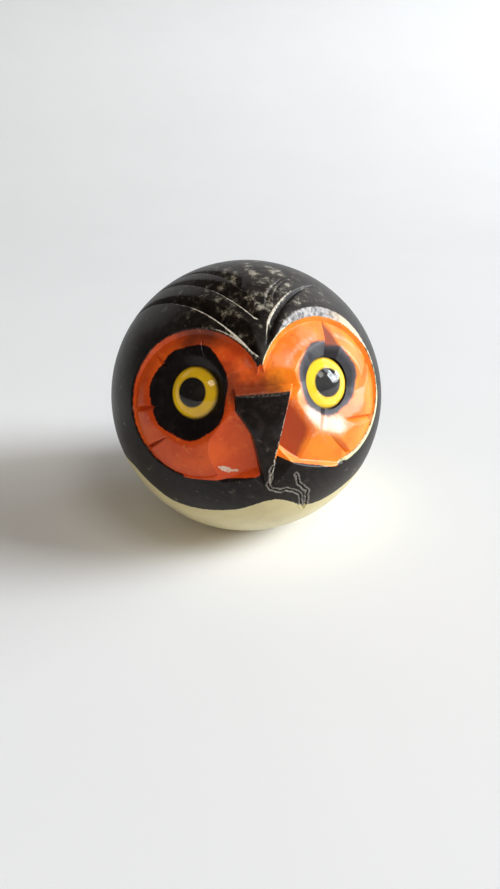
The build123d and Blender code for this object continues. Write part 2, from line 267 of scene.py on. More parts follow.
# The board under and behind the owl: how far it reaches forwards and to each side, where its ramp
# starts, the radius of the bend, the slope and the run after it
BOARD_FRONT = -1.6
BOARD_HALF_WIDTH = 2.2
RAMP_START = 0.30
RAMP_BEND = 1.2
RAMP_SLOPE = 28.0
RAMP_STEPS = 24
RAMP_RUN = 0.9

# Area lights: elevation, azimuth, distance, (width, height), watts, colour, and whether each one
# shows in gloss and lights matte surfaces
WHITE = (1.0, 1.0, 1.0)
SKY = (0.90, 0.95, 1.0)
LIGHTS = {
    "window": (28.0, 76.0, 3.0, (1.2, 1.5), 108.0, (0.88, 0.94, 1.0), True, True),
    "window_glow": (14.0, 94.0, 3.6, (2.4, 1.1), 96.0, SKY, True, True),
    "skylight": (50.0, 92.0, 3.0, (1.3, 1.0), 18.0, SKY, True, False),
    "lamp": (55.0, 35.0, 3.0, (1.0, 1.0), 18.0, (0.98, 0.96, 0.92), True, True),
    "room": (35.0, -5.0, 2.8, (3.0, 1.6), 22.5, (1.0, 0.82, 0.60), False, True),
    "far_wall": (32.0, 180.0, 2.4, (4.6, 1.6), 18.0, WHITE, True, False),
    "side_wall": (30.0, 125.0, 2.4, (1.8, 2.0), 17.0, WHITE, True, False),
}
AMBIENT_COLOUR = (1.0, 0.97, 0.92, 1.0)
AMBIENT_STRENGTH = 0.05

# The camera: where it stands, in ball radii, its lens, and how far above and to the left of the
# picture's middle the ball's centre lies
CAMERA_ELEVATION = 25.0
CAMERA_AZIMUTH = -6.25
CAMERA_DISTANCE = 4.983
CAMERA_LENS = 26.69
CAMERA_SENSOR = 36.0
CAMERA_NEAREST = 0.005
CENTRE_RAISED = 4.12
CENTRE_TO_LEFT = 0.17
CAMERA_ROLL = 2.0


# ---- Directions, frames and noise ----

def toward(elevation, azimuth):
    """The direction with that elevation and azimuth."""
    e = radians(elevation)
    a = radians(azimuth)
    return np.array([sin(a) * cos(e), -cos(a) * cos(e), sin(e)])


def on_ball(elevation, azimuth, depth=0.0):
    """A spot that deep below the ball's surface."""
    return toward(elevation, azimuth) * (BALL - depth)


def unit(v):
    return v / np.linalg.norm(v)


def axes_along(direction):
    """Sideways, upwards and outwards axes about a direction."""
    sideways = unit(np.cross([0.0, 0.0, 1.0], direction))
    return sideways, np.cross(direction, sideways), direction


def eye_axes(side):
    """An origin on an eye's axis and its sideways, upwards and outwards axes."""
    look = toward(*EYE_LOOK[side])
    origin = (toward(*EYE_PLACE[side]) - look) * RIM_HEIGHT
    return origin, axes_along(look)


def from_eye(side, out, up, height):
    """A spot in an eye's own frame: away from the beak, upwards, and out along its axis."""
    origin, (u, v, w) = eye_axes(side)
    return origin + u * (side * out) + v * up + w * height


def eye_height(side, out, up, depth):
    """How high up the eye's axis the ball, pared down by that depth, lies."""
    base = from_eye(side, out, up, 0.0)
    along = base @ toward(*EYE_LOOK[side])
    return -along + sqrt(along**2 - base @ base + (BALL - depth) ** 2)


def value_noise(points, cell, seed):
    """Smooth noise from -1 to 1 on a random lattice with that cell size."""
    lattice = np.random.default_rng(seed).uniform(-1, 1, (LATTICE, LATTICE, LATTICE))
    scaled = points / cell
    whole = np.floor(scaled).astype(int)
    part = scaled - whole
    part = part * part * (3 - 2 * part)
    total = 0.0
    for corner in np.ndindex(2, 2, 2):
        weight = 1.0
        for axis in range(3):
            weight = weight * (part[:, axis] if corner[axis] else 1 - part[:, axis])
        index = tuple((whole[:, axis] + corner[axis]) % LATTICE for axis in range(3))
        total = total + weight * lattice[index]
    return total


def waver(points, height, cell, seed):
    return height * value_noise(points, cell, seed)


# ---- Cuts: each gives, for every direction, how far out from the centre the air begins ----

def half_space(d, point, normal):
    """Where rays from the centre pass out through a face with that outward normal."""
    rise = d @ normal
    return np.where(rise > GRAZING, (point @ normal) / np.maximum(rise, GRAZING), FAR)


def leaning_wall(a, b, hint, lean):
    """A face through a and b, towards hint, that leans from square to the ball by lean."""
    square = unit(np.cross(a, b))
    if square @ hint < 0:
        square = -square
    lean = radians(lean)
    return a, square * cos(lean) + unit(a + b) * sin(lean)


def flat_floor(d, spots):
    """Where rays pass out through the flat through three (elevation, azimuth, depth) spots."""
    a, b, c = (on_ball(*spot) for spot in spots)
    outward = unit(np.cross(b - a, c - a))
    return half_space(d, a, outward if outward @ a > 0 else -outward)


def smooth_min(a, b, k):
    """The lesser of a and b, with the corner between them rounded over k."""
    h = np.maximum(k - np.abs(a - b), 0) / k
    return np.minimum(a, b) - h * h * k / 4


def smooth_max(a, b, k):
    return -smooth_min(-a, -b, k)


def cone_wall(d, elevation, azimuth, angle, lean, widen=1.0):
    """A wall round a circle on the ball that opens outwards by lean."""
    u, v, w = axes_along(toward(elevation, azimuth))
    sine = np.hypot(d @ u / widen, d @ v)
    angle = radians(angle)
    open_tan = tan(angle + radians(lean))
    reach = (d @ w) * open_tan - sine
    top = BALL * (cos(angle) * open_tan - sin(angle))
    return np.where(reach > GRAZING, top / np.maximum(reach, GRAZING), FAR)


def disc_wall(d, side):
    elevation, azimuth, angle, widen = DISC[side]
    return cone_wall(d, elevation, azimuth, angle, RIM_LEAN, widen)


def ring_floor(d, side):
    """The disc's gently domed floor."""
    elevation, azimuth, _, _ = DISC[side]
    along = d @ toward(elevation - RING_TILT, azimuth)
    return RING_SHIFT * along + np.sqrt(RING_BALL**2 - RING_SHIFT**2 * (1 - along**2))


def wall_between(d, corners, hint, lean):
    """Where rays pass out through a leaning wall between two (elevation, azimuth) corners."""
    a, b = (on_ball(*corner) for corner in corners)
    return half_space(d, *leaning_wall(a, b, hint, lean))


def beak_sides(d):
    """Where the air begins to the left and to the right of the beak."""
    high, slant, low = (wall_between(d, line, LEFT, BEAK_WALL_LEAN) for line in BEAK_LEFT)
    return {-1: np.maximum(low, np.minimum(high, slant)),
            1: wall_between(d, BEAK_RIGHT, -LEFT, BEAK_WALL_LEAN)}


def dish_floor(d, side):
    """The many-sided dish: flats that rise from the bead's seat to their ridge."""
    ridges = RIDGES[side]
    _, (u, v, _) = eye_axes(side)
    floor = np.zeros(len(d))
    for i, ridge in enumerate(ridges):
        turn = radians(DISH_TURN[side] + i * 360.0 / len(ridges))
        out, up = cos(turn), sin(turn)
        height = eye_height(side, out * ridge, up * ridge, RIDGE_DEPTH[side])
        seat = from_eye(side, out * SEAT_RADIUS, up * SEAT_RADIUS, RIM_HEIGHT)
        crest = from_eye(side, out * ridge, up * ridge, height)
        along = u * (-side * up) + v * out
        normal = unit(np.cross(crest - seat, along))
        if normal @ seat < 0:
            normal = -normal
        floor = smooth_max(floor, half_space(d, seat, normal), FLAT_BLEND[side])
    return floor


def notch_walls(d, side, start, end, clockwise, anticlockwise):
    """The two walls of a V notch from the rim's foot across the ridge into the dish."""
    spots = [from_eye(side, out, up, eye_height(side, out, up, depth))
             for out, up, depth in (start, end)]
    line = unit(spots[1] - spots[0])
    across = unit(np.cross(line, spots[0]))
    upward = np.cross(across, line)
    if upward @ spots[0] < 0:
        upward = -upward
    faces = []
    for lean, way in ((clockwise, across), (anticlockwise, -across)):
        lean = radians(lean)
        faces.append(half_space(d, spots[0], way * cos(lean) + upward * sin(lean)))
    return faces


def azimuths(d):
    return np.degrees(np.arctan2(d[:, 0], -d[:, 1]))


def circle_offset(d, elevation, azimuth, angle):
    """Millimetres outside a circle on the ball, measured over the ball."""
    turn = np.arccos(np.clip(d @ toward(elevation, azimuth), -1, 1))
    return BALL * (turn - radians(angle))


def groove_strength(d, side, start, faded):
    """1 just past a groove's start by the parting, fading to 0 at its end down the side."""
    along = side * azimuths(d)
    begun = np.clip((along - side * start) / GROOVE_RUN_IN, 0, 1)
    left = np.clip((side * faded - along) / (side * faded), 0, 1)
    lowest, fade = GROOVE_LOWEST
    above = np.clip((d[:, 2] - lowest) / fade, 0, 1)
    return begun * np.sqrt(left) * above


def groove(d, side, elevation, azimuth, angle, depth, crown_slope, face_slope, start, faded):
    """A V cut along a circle, from the parting out and down the side."""
    off = circle_offset(d, elevation, azimuth, angle) + waver(d * BALL, *GROOVE_WAVER)
    deep = depth * groove_strength(d, side, start, faded)
    cut = np.minimum(deep - off * crown_slope, deep + off * face_slope)
    return BALL - np.maximum(cut, -GROOVE_OVERCUT)


def distance_to_line(points, spots):
    """Distance over the ball to a line through (elevation, azimuth) spots, in millimetres."""
    nearest = np.full(len(points), FAR)
    ends = [on_ball(*spot) for spot in spots]
    for a, b in zip(ends, ends[1:]):
        share = np.clip((points - a) @ (b - a) / ((b - a) @ (b - a)), 0, 1)
        gap = np.linalg.norm(points - a - share[:, None] * (b - a), axis=1)
        nearest = np.minimum(nearest, gap)
    return nearest


def crack_distance(d):
    """Distance from the crack's wandering line, in millimetres."""
    height, cell, seed = CRACK_WANDER
    wander = [waver(d * BALL, height, cell, seed + axis) for axis in range(3)]
    points = d * BALL + np.stack(wander, axis=1)
    return np.minimum(*(distance_to_line(points, line) for line in CRACK))


def bridge_cut(d, walls, beak, rough):
    """The flat over the beak that joins the discs, up to the parting's tip."""
    floor = np.maximum(flat_floor(d, BRIDGE),
                       wall_between(d, BRIDGE_FOOT, UP, BRIDGE_FOOT_LEAN))
    either = np.minimum(walls[-1], walls[1])
    brow = np.maximum(*(wall_between(d, BROW_EDGE[side], -UP, RIM_LEAN) for side in SIDES))
    return np.maximum(np.maximum(floor + rough, np.minimum(either, brow)), beak)


def face_cuts(d, side, wall, beak_side, beak, rough):
    """One side's disc, cheek, groove by the beak's tip, ray notches and brow grooves."""
    floor = smooth_min(ring_floor(d, side), dish_floor(d, side), RIDGE_BLEND[side])
    cuts = [np.maximum(np.maximum(wall, floor + FLOOR_SHARE * rough), beak)]
    cheek = flat_floor(d, CHEEK[side])
    if side > 0:
        cheek = np.minimum(cheek, flat_floor(d, CHEEK_FOOT))
    chin = wall_between(d, CHIN[side], UP, CHIN_LEAN)
    cuts.append(np.maximum(np.maximum(cheek, beak_side), chin))
    cuts.append(np.maximum(flat_floor(d, TIP_GROOVE[side]) + rough, beak_side))
    for row in NOTCHES[side]:
        ray = np.maximum(*notch_walls(d, side, *row))
        cuts.append(np.maximum(np.maximum(ray, wall), beak))
    return cuts + [groove(d, side, *row) for row in GROOVES[side]]


def carve(d):
    """The stone's radius in every direction, and how near each spot is to a convex edge."""
    points = d * BALL
    cuts = [BALL - BALL_INSET + waver(points, *BALL_WAVER) - BALL_WAVER[0]]
    sides = beak_sides(d)
    top = wall_between(d, BEAK_TOP, UP, BEAK_TOP_LEAN)
    beak = np.minimum(np.minimum(sides[-1], sides[1]), top)
    walls = {side: disc_wall(d, side) for side in SIDES}
    rough = sum(waver(points, *row) for row in WALL_WAVER)
    cuts.append(bridge_cut(d, walls, beak, rough))
    for side in SIDES:
        cuts += face_cuts(d, side, walls[side] + rough, sides[side], beak, rough)
    cuts.append(np.where(disc_depth(d, 1) > BEVEL_STOP, FAR, cone_wall(d, *BEVEL) + rough))
    stone = cuts[0]
    for cut in cuts[1:]:
        stone = smooth_min(stone, cut, EDGE_ROUNDING)
    nearest = np.partition(np.array(cuts), 1, axis=0)[:2]
    split = crack_distance(d)
    stone = stone - CRACK_DEPTH * np.clip(1 - split / CRACK_WIDTH, 0, 1)
    stone = stone + LIP_RISE * np.clip(1 - np.abs(split - LIP_PLACE) / LIP_WIDTH, 0, 1)
    return stone, nearest[1] - nearest[0]


# ---- The stone's mesh ----

def cube_sphere(n):
    """Directions and quads of a cube blown up into a ball, evenly spaced."""
    line = np.tan(np.linspace(-pi / 4, pi / 4, n + 1))
    a, b = (grid.ravel() for grid in np.meshgrid(line, line, indexing="ij"))
    corner = np.arange(n * (n + 1)).reshape(n, n + 1)[:, :n].ravel()
    quad = np.stack([corner, corner + n + 1, corner + n + 2, corner + 1], axis=1)
    blocks, quads = [], []
    for axis in range(3):
        for sign in (-1, 1):
            block = np.empty((len(a), 3))
            block[:, axis] = sign
            block[:, (axis + 1) % 3] = a
            block[:, (axis + 2) % 3] = b
            quads.append((quad if sign > 0 else quad[:, ::-1]) + len(blocks) * len(a))
            blocks.append(block)
    points = np.concatenate(blocks)
    # Points that the cube's faces share become one
    keys = np.round(points * 1e7).astype(np.int64)
    _, first, index = np.unique(keys, axis=0, return_index=True, return_inverse=True)
    directions = points[first]
    directions /= np.linalg.norm(directions, axis=1)[:, None]
    return directions, index.reshape(-1)[np.concatenate(quads)]


def new_object(name, data):
    """Puts a mesh, a light or a camera into the scene."""
    thing = bpy.data.objects.new(name, data)
    bpy.context.collection.objects.link(thing)
    return thing


def mesh_object(name, points, faces):
    """An object made of faces, from points in metres."""
    mesh = bpy.data.meshes.new(name)
    mesh.from_pydata(points, [], faces)
    mesh.validate()
    return new_object(name, mesh)


def apply_modifiers(piece):
    """Puts the result of a piece's modifiers into its mesh."""
    graph = bpy.context.evaluated_depsgraph_get()
    mesh = bpy.data.meshes.new_from_object(piece.evaluated_get(graph))
    piece.modifiers.clear()
    piece.data = mesh


def lathe(name, outline, side, segments=96):
    """A turned piece about an eye's axis, from (radius, height) pairs; radius 0 closes it."""
    origin, (u, v, w) = eye_axes(side)
    turned = sum(r1 * h2 - r2 * h1 for (r1, h1), (r2, h2) in zip(outline, outline[1:]))
    if turned < 0:
        outline = outline[::-1]
    points, rings, faces = [], [], []
    for radius, height in outline:
        if radius == 0:
            rings.append([len(points)] * segments)
            points.append(origin + w * height)
            continue
        rings.append(list(range(len(points), len(points) + segments)))
        for i in range(segments):
            turn = 2 * pi * i / segments
            points.append(origin + (u * cos(turn) + v * sin(turn)) * radius + w * height)
    for low, high in zip(rings, rings[1:]):
        for i in range(segments):
            j = (i + 1) % segments
            face = list(dict.fromkeys((low[i], low[j], high[j], high[i])))
            if len(face) > 2:
                faces.append(face)
    return mesh_object(name, [tuple((p + CENTRE) * MM) for p in points], faces)


def shade(piece, crease=None):
    """Smooth shading, with edges sharper than crease degrees left hard."""
    piece.data.shade_smooth()
    if crease is not None:
        piece.data.set_sharp_from_angle(angle=radians(crease))


def thin_out(piece, directions):
    """Drops the triangles that flat faces don't need, but not near the small rubbed and painted
    highlight marks.
    """
    kept = piece.vertex_groups.new(name="kept")
    near = np.min([distance_to_line(directions * BALL, line) for _, line in RUBBED_AND_HIGHLIT_LINES], axis=0)
    kept.add(np.flatnonzero(near < FINE_REACH).tolist(), 1.0, "REPLACE")
    thin = piece.modifiers.new("thin", "DECIMATE")
    thin.ratio = THINNED_TO
    thin.vertex_group = kept.name
    thin.invert_vertex_group = True


def bore_socket(piece, side):
    """Drills an eye's socket, with the drill's point at its end."""
    past = RIM_HEIGHT + BORE_PAST_RIM
    outline = [(0, BORE_FLOOR - DRILL_POINT), (BORE_RADIUS, BORE_FLOOR), (BORE_RADIUS, past),
               (0, past)]
    drill = lathe(f"drill_{WORD[side]}", outline, side)
    cut = piece.modifiers.new("socket", "BOOLEAN")
    cut.operation = "DIFFERENCE"
    cut.solver = "EXACT"
    cut.object = drill
    apply_modifiers(piece)
    bpy.data.objects.remove(drill)


def stone_mesh():
    """The carved stone: a ball of fine squares pushed in to its cuts, then thinned and bored."""
    directions, quads = cube_sphere(GRID)
    radius, _ = carve(directions)
    points = directions * radius[:, None] + CENTRE
    points[:, 2] = np.maximum(points[:, 2], 0.0)
    piece = mesh_object("stone_owl", (points * MM).tolist(), quads.tolist())
    soften = piece.modifiers.new("soften", "SMOOTH")
    soften.factor = 0.5
    soften.iterations = 1
    thin_out(piece, directions)
    apply_modifiers(piece)
    piece.vertex_groups.clear()
    for side in SIDES:
        bore_socket(piece, side)
    shade(piece, STONE_CREASE)
    return piece


# ---- Dye, wear, and painted light and shade zones, as distances in millimetres stored on the mesh ----

def belly_height(d):
    """Height above the belly's edge, a Catmull-Rom line through its points."""
    around = azimuths(d)
    spots = sorted(BELLY_EDGE)
    spots = [(a - 360, e) for a, e in spots[-2:]] + spots + [(a + 360, e) for a, e in spots[:2]]
    edge = np.zeros(len(d))
    for (_, e0), (a1, e1), (a2, e2), (_, e3) in zip(spots, spots[1:], spots[2:], spots[3:]):
        t = (around - a1) / (a2 - a1)
        curve = e1 + t * ((e2 - e0) / 2 + t * (e0 - 2.5 * e1 + 2 * e2 - e3 / 2
                                               + t * (1.5 * (e1 - e2) + (e3 - e0) / 2)))
        edge = np.where((t >= 0) & (t < 1), curve, edge)
    return BALL * (np.arcsin(np.clip(d[:, 2], -1, 1)) - np.radians(edge))


def disc_depth(d, side):
    """Depth inside a facial disc's rim."""
    elevation, azimuth, angle, widen = DISC[side]
    u, v, w = axes_along(toward(elevation, azimuth))
    seen = np.arctan2(np.hypot(d @ u / widen, d @ v), d @ w)
    return BALL * (radians(angle) - seen)


def plane_depth(d, corners, hint):
    """Distance towards hint from the line between two corners."""
    a, b = (on_ball(*corner) for corner in corners)
    _, normal = leaning_wall(a, b, hint, 0.0)
    return BALL * (d @ normal)


def beak_depth(d):
    """Depth inside the beak's outline, with painted shade over its left and top walls included."""
    high, slant, low = (plane_depth(d, line, LEFT) for line in BEAK_LEFT)
    # The black reaches past the left and top walls: painted shade on them
    outside_left = np.minimum(low, np.maximum(high, slant)) - BEAK_SHADE_PAST_LEFT
    outside_right = plane_depth(d, BEAK_RIGHT, -LEFT)
    above = plane_depth(d, BEAK_TOP, UP) - BEAK_SHADE_PAST_TOP
    return -np.maximum(np.maximum(outside_left, outside_right), above)


def face_depth(d):
    """Depth inside the orange face: the discs, the bridge and the cheeks."""
    inside = np.maximum(disc_depth(d, -1), disc_depth(d, 1)) - RIM_MARGIN
    under_brow = np.minimum(*(plane_depth(d, BROW_EDGE[side], -UP) for side in SIDES)) - RIM_MARGIN
    over_beak = BALL * (d[:, 2] - sin(radians(BRIDGE_LOWEST)))
    inside = np.maximum(inside, np.minimum(under_brow, over_beak))
    elevation, azimuth, reach = CHEEK_REACH
    for side in SIDES:
        beside = plane_depth(d, BEAK_LEFT[-1] if side < 0 else BEAK_RIGHT, -side * LEFT)
        above = -plane_depth(d, CHIN[side], -UP)
        middle = toward(elevation, side * azimuth)
        within = reach - BALL * np.arccos(np.clip(d @ middle, -1, 1))
        inside = np.maximum(inside, np.minimum(np.minimum(beside, above), within))
    return inside


def ring_depth(d, side):
    """Depth inside the black ring round an eye."""
    origin, (u, v, look) = eye_axes(side)
    offset = d * RING_REACH - origin
    across, up, half_width, half_height = BLACK_RING[side]
    x = ((offset @ u) * side - across) / half_width
    y = (offset @ v - up) / half_height
    around = np.arctan2(y, x)
    lobes = 1 + sum(height * np.cos(number * around + turn) for height, number, turn in RING_LOBES)
    return np.where(d @ look > 0, half_width * (lobes - np.hypot(x, y)), -half_width)


def hump(value, start, end):
    """0 at the start and the end, and 1 half way."""
    along = (value - start) / (end - start)
    return np.clip(4 * along * (1 - along), 0, 1)


def worn_and_highlit_depth(d):
    """Depth inside the pale lines along the crests, the rims, the beak and the cheek's marks:
    partly wear, partly painted highlight.
    """
    around = azimuths(d)
    worn_and_highlit = np.full(len(d), -FAR)
    for side, number, start, widest, end, width in WORN_AND_HIGHLIT_CRESTS:
        *circle, depth, crown_slope, face_slope, begin, faded = GROOVES[side][number]
        off = circle_offset(d, *circle)
        deep = depth * groove_strength(d, side, begin, faded)
        edge = off + deep / face_slope if side < 0 else off - deep / crown_slope
        ends = sorted(((start, 0.0), (widest, 1.0), (end, WORN_AND_HIGHLIT_END_SHARE)))
        share = np.interp(around, [a for a, _ in ends], [b for _, b in ends], left=0.0, right=0.0)
        share = share * (deep > WORN_AND_HIGHLIT_END_SHARE * depth)
        worn_and_highlit = np.maximum(worn_and_highlit, np.where(share > 0, width * share - np.abs(edge), OFF_WORN_AND_HIGHLIT))
    for side, (start, end, lowest, width) in WORN_AND_HIGHLIT_RIM.items():
        height = d[:, 2] * NEARLY_DEGREES - lowest
        share = hump(around, start, end) * np.clip(height / WORN_AND_HIGHLIT_RIM_FADE, 0, 1)
        strip = width * share - np.abs(disc_depth(d, side) + WORN_AND_HIGHLIT_RIM_OUTSIDE)
        worn_and_highlit = np.maximum(worn_and_highlit, np.where(share > 0, strip, OFF_WORN_AND_HIGHLIT))
    points = d * BALL
    for width, line in ((WORN_AND_HIGHLIT_BEAK_WIDTH, WORN_AND_HIGHLIT_BEAK), *RUBBED_AND_HIGHLIT_LINES):
        worn_and_highlit = np.maximum(worn_and_highlit, width - distance_to_line(points, line))
    return worn_and_highlit


def notch_shade_depth(d):
    """How deep each notch's shaded walls lie below the floor that they were cut in, for their
    painted shade.
    """
    notch_shade = np.zeros(len(d))
    for side in SIDES:
        floor = np.minimum(ring_floor(d, side), dish_floor(d, side))
        for row in SHADED_NOTCHES[side]:
            shaded, lit = notch_walls(d, side, *row)
            deep = np.where((shaded >= lit) & (disc_depth(d, side) > 0), floor - shaded, 0.0)
            notch_shade = np.maximum(notch_shade, deep)
    return notch_shade


def cheek_shade_depth(d):
    """How deep the right cheek's facet beside the beak lies below the floors around it, for its
    painted shade.
    """
    disc = np.minimum(ring_floor(d, 1), dish_floor(d, 1))
    around = np.minimum(disc, flat_floor(d, CHEEK_FOOT))
    inside = (disc_depth(d, 1) > 0) & (d[:, 0] > 0)
    return np.where(inside, around - flat_floor(d, CHEEK[1]), NO_CHEEK_SHADE)


def highlight_distance(d):
    """How far a spot is from the painted highlight under the right eye; a ridge's painted highlight
    counts as that much farther off.
    """
    ridges = np.min([distance_to_line(d * BALL, line) for line in HIGHLIT_RIDGES], axis=0)
    return np.minimum(distance_to_line(d * BALL, HIGHLIGHT_UNDER_EYE), ridges + HIGHLIT_RIDGE_LAG)


def bevel_depth(d):
    """Depth inside the strip between the right disc's rim and the bevel's own circle."""
    return np.minimum(-disc_depth(d, 1), -circle_offset(d, *BEVEL[:3]))


def bare_depth(d):
    """Depth inside the undyed strip under the right disc's rim."""
    start, end, width = BARE_STRIP
    top, fade = BARE_TOP
    share = np.sqrt(hump(azimuths(d), start, end)) * np.clip((top - d[:, 2]) / fade, 0, 1)
    outside = -disc_depth(d, 1)
    return np.minimum(outside + BARE_LAP, width * share - outside)


def read_points(mesh):
    """A mesh's points in millimetres about the ball's centre."""
    flat = np.empty(len(mesh.vertices) * 3, np.float32)
    mesh.vertices.foreach_get("co", flat)
    return flat.reshape(-1, 3).astype(float) / MM - CENTRE


def write_values(mesh, name, values):
    """Stores a number on each of a mesh's points."""
    layer = mesh.attributes.new(name, "FLOAT", "POINT")
    layer.data.foreach_set("value", values.astype(np.float32))


def paint_zones(piece):
    """Stores every zone's distance on the stone's points, for its material to read."""
    mesh = piece.data
    points = read_points(mesh)
    d = points / np.linalg.norm(points, axis=1)[:, None]
    _, crest = carve(d)
    zones = {
        "belly": belly_height(d),
        "face": face_depth(d),
        "beak": beak_depth(d),
        "ring_left": ring_depth(d, -1),
        "ring_right": ring_depth(d, 1),
        "crest": np.minimum(crest, CREST_LIMIT),
        # Pale lines: partly wear, partly painted highlight
        "worn_and_highlit": worn_and_highlit_depth(d),
        "bare": bare_depth(d),
        # Painted shade on the notches' shaded walls
        "notch_shade": notch_shade_depth(d),
        # Painted shade on the right cheek's sunken facet
        "cheek_shade": cheek_shade_depth(d),
        # Distance to the painted highlight under the right eye and along its ridges
        "thin": highlight_distance(d),
        "split": crack_distance(d),
        "bevel": bevel_depth(d),
        "rightward": points[:, 0],
        # Distance to the painted shade over the beak and under the left brow
        "shade_smudge": np.minimum(*(distance_to_line(d * BALL, line) for line in SHADE_SMUDGES)),
        "crown": BALL * np.arccos(np.clip(d @ toward(*MOTTLED_SPOT), -1, 1)),
    }
    for name, values in zones.items():
        write_values(mesh, name, np.clip(values, *ZONE_LIMITS))


# ---- Materials ----

# Linear colours; a pair is the two ends of a blend
CREAM = ((0.64, 0.56, 0.305), (0.56, 0.48, 0.26))
BARE_STONE = (0.62, 0.60, 0.36)
# Convex edges: partly rubbed stone, partly painted edge highlight
RUBBED_STONE_AND_EDGE_HIGHLIGHT = (0.50, 0.42, 0.34)
# Pale lines: partly worn stone, partly painted highlight
WORN_STONE_AND_HIGHLIGHT = (0.62, 0.56, 0.45)
# The left orange is a painted shade copy of the right one, darker and redder; the right one is the
# lit copy
ORANGE_LEFT_SHADED = ((0.70, 0.100, 0.011), (0.56, 0.060, 0.008))
ORANGE_RIGHT_LIT = ((0.88, 0.240, 0.014), (0.84, 0.160, 0.010))
ORANGE_FLECK = (0.85, 0.26, 0.04)
ORANGE_PATCH = (0.26, 0.030, 0.007)
# Painted shade on the notches' shaded walls
ORANGE_NOTCH_SHADE = (0.17, 0.016, 0.006)
# Painted shade on the right cheek's sunken facet
ORANGE_CHEEK_SHADE = (0.36, 0.035, 0.007)
# Painted highlight under the right eye and along its ridges
ORANGE_HIGHLIGHT = (0.74, 0.60, 0.50)
# Painted shade over the beak and under the left brow
ORANGE_SMUDGED_SHADE = (0.10, 0.022, 0.010)
BLACK = ((0.006, 0.004, 0.003), (0.017, 0.011, 0.009))
SPECK = (0.16, 0.12, 0.10)
MOTTLE = ((0.085, 0.072, 0.055), (0.34, 0.31, 0.25))
# The bevel's pale colours are partly dust and partly painted sheen
DUST_AND_SHEEN = ((0.07, 0.065, 0.065), (0.42, 0.39, 0.38))
CREAMY_DUST_AND_SHEEN = (0.85, 0.66, 0.42)
CRACK_LIP = (0.30, 0.27, 0.24)
LEFT_RING = ((0.005, 0.003, 0.003), (0.012, 0.008, 0.008))
# The right ring's pale blue-grey edge is partly faded dye and partly painted sheen
RIGHT_RING_AND_SHEEN = ((0.008, 0.006, 0.008), (0.060, 0.052, 0.062))
CLEAR = (0.98, 0.98, 0.96)
YELLOW = ((0.74, 0.48, 0.006), (0.60, 0.37, 0.008))
# Painted shade at the iris's edges
IRIS_EDGE_SHADE = (0.13, 0.085, 0.01)
PUPIL = ((0.004, 0.003, 0.003), (0.07, 0.05, 0.035))
WIRE = ((0.30, 0.28, 0.26), (0.14, 0.10, 0.08))
CEMENT = ((0.05, 0.04, 0.03), (0.12, 0.10, 0.08))
BOARD = ((0.80, 0.80, 0.80), (0.84, 0.84, 0.84))


class Shader:
    """A material's node tree, with one short call per node."""

    def __init__(self, name):
        self.material = bpy.data.materials.new(name)
        self.material.use_nodes = True
        self.nodes = self.material.node_tree.nodes
        self.links = self.material.node_tree.links
        self.nodes.clear()
        self.out = self.nodes.new("ShaderNodeOutputMaterial")
        self.surface = self.nodes.new("ShaderNodeBsdfPrincipled")
        self.links.new(self.surface.outputs[0], self.out.inputs["Surface"])
        self.place = self.nodes.new("ShaderNodeTexCoord").outputs["Object"]

    def plug(self, socket, value):
        """Links a socket, or sets a number or colour on it."""
        if isinstance(value, bpy.types.NodeSocket):
            self.links.new(value, socket)
        elif socket.type == "RGBA":
            socket.default_value = (*value, 1.0)
        else:
            socket.default_value = value

    def set(self, **values):
        """Fills the surface's inputs, named as in Blender but in lower case."""
        for name, value in values.items():
            label = name.replace("_", " ").title().replace("Ior", "IOR")
            self.plug(self.surface.inputs[label], value)

    def math(self, operation, a, b):
        node = self.nodes.new("ShaderNodeMath")
        node.operation = operation
        self.plug(node.inputs[0], a)
        self.plug(node.inputs[1], b)
        return node.outputs[0]

    def add(self, a, b):
        return self.math("ADD", a, b)

    def times(self, a, b):
        return self.math("MULTIPLY", a, b)

    def noise(self, size, detail=3.0, roughness=0.55, distortion=0.0):
        """Noise from 0 to 1 whose blobs are about size millimetres across."""
        node = self.nodes.new("ShaderNodeTexNoise")
        self.links.new(self.place, node.inputs["Vector"])
        names = ("Scale", "Detail", "Roughness", "Distortion")
        for name, value in zip(names, (1 / (size * MM), detail, roughness, distortion)):
            node.inputs[name].default_value = value
        return node.outputs["Fac"]

    def attribute(self, name):
        node = self.nodes.new("ShaderNodeAttribute")
        node.attribute_name = name
        return node.outputs["Fac"]

    def step(self, value, low, high):
        """0 below low to 1 above high, smoothly; low above high turns it round."""
        node = self.nodes.new("ShaderNodeMapRange")
        node.interpolation_type = "SMOOTHSTEP"
        self.plug(node.inputs["Value"], value)
        bounds = (low, high, 0.0, 1.0) if low < high else (high, low, 1.0, 0.0)
        for name, bound in zip(("From Min", "From Max", "To Min", "To Max"), bounds):
            node.inputs[name].default_value = bound
        return node.outputs["Result"]

    def mix(self, share, a, b):
        """Colour a where share is 0, b where it is 1."""
        node = self.nodes.new("ShaderNodeMix")
        node.data_type = "RGBA"
        self.plug(node.inputs[0], share)
        self.plug(node.inputs[6], a)
        self.plug(node.inputs[7], b)
        return node.outputs[2]

    def stain(self, base, mask, strength, colour):
        """Lays a colour over base where mask is 1, at that strength."""
        return self.mix(self.times(mask, strength), base, colour)

    def bump(self, height, strength, distance_mm):
        node = self.nodes.new("ShaderNodeBump")
        node.inputs["Strength"].default_value = strength
        node.inputs["Distance"].default_value = distance_mm * MM
        self.links.new(height, node.inputs["Height"])
        return node.outputs["Normal"]


